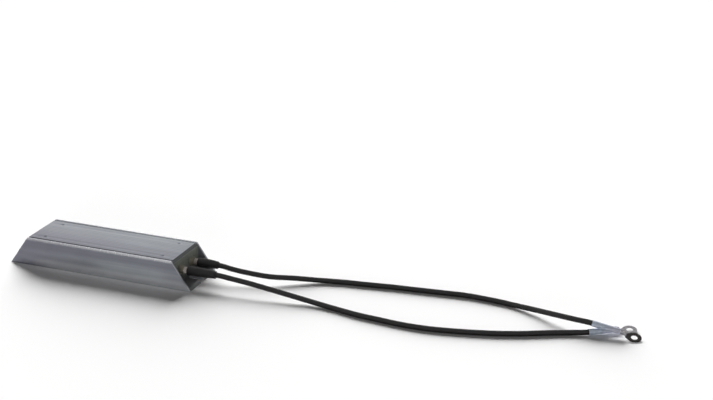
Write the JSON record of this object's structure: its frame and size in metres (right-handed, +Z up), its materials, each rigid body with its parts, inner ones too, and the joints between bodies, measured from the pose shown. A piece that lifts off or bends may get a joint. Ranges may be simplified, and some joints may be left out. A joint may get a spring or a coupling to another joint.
{
  "type": "aluminium housed power resistor",
  "caption": "Power resistor in an extruded aluminium housing with slanted ends, open screw slots in its feet, and flexible leads with ring terminals.",
  "frame": {"origin": "centre of the housing's base face, on the surface that it is mounted on", "axes": "+X along the housing, towards the end where the leads come out; +Y across the housing; +Z up, away from the base face"},
  "size_m": [0.4408, 0.0648, 0.02],
  "materials": {
    "housing_aluminium": "satin mill finish with fine lines along the extrusion",
    "end_plate": "matt, slightly rough",
    "mica": "flaky sheet, slight sheen",
    "cement": "matt, grainy",
    "core_ceramic": "unglazed",
    "resistance_wire": "drawn wire, dull",
    "cap_steel": "nickel plated, dull",
    "crimp_brass": "drawn tube, dull",
    "conductor": "bare copper strands, tinned at the ends",
    "bushing_ceramic": "unglazed, olive grey",
    "glass_sleeve": "braided glass fibre",
    "exit_sleeve": "heat shrink, satin",
    "lead_insulation": "silicone insulation, soft sheen",
    "terminal_sleeve": "semi-gloss sleeve",
    "terminal_metal": "tinned, bright"
  },
  "bodies": {
    "root": {"housing": "housing_aluminium", "end_plate_left": "end_plate", "end_plate_right": "end_plate", "mica_sheet_top": "mica", "mica_sheet_bottom": "mica", "mica_sheet_front": "mica", "mica_sheet_back": "mica", "filling": "cement", "core_front": "core_ceramic", "core_back": "core_ceramic", "winding_front": "resistance_wire", "winding_back": "resistance_wire", "cap_front_left": "cap_steel", "cap_front_right": "cap_steel", "cap_back_left": "cap_steel", "cap_back_right": "cap_steel", "bridge_strip": "cap_steel", "crimp_front": "crimp_brass", "crimp_back": "crimp_brass", "conductor_front": "conductor", "conductor_back": "conductor", "bushing_front": "bushing_ceramic", "bushing_back": "bushing_ceramic", "inner_sleeve_front": "glass_sleeve", "inner_sleeve_back": "glass_sleeve", "exit_sleeve_front": "exit_sleeve", "exit_sleeve_back": "exit_sleeve", "lead_front": "lead_insulation", "lead_back": "lead_insulation", "terminal_sleeve_front": "terminal_sleeve", "terminal_sleeve_back": "terminal_sleeve", "terminal_front": "terminal_metal", "terminal_back": "terminal_metal", "strand_end_front": "conductor", "strand_end_back": "conductor"}
  },
  "joints": []
}
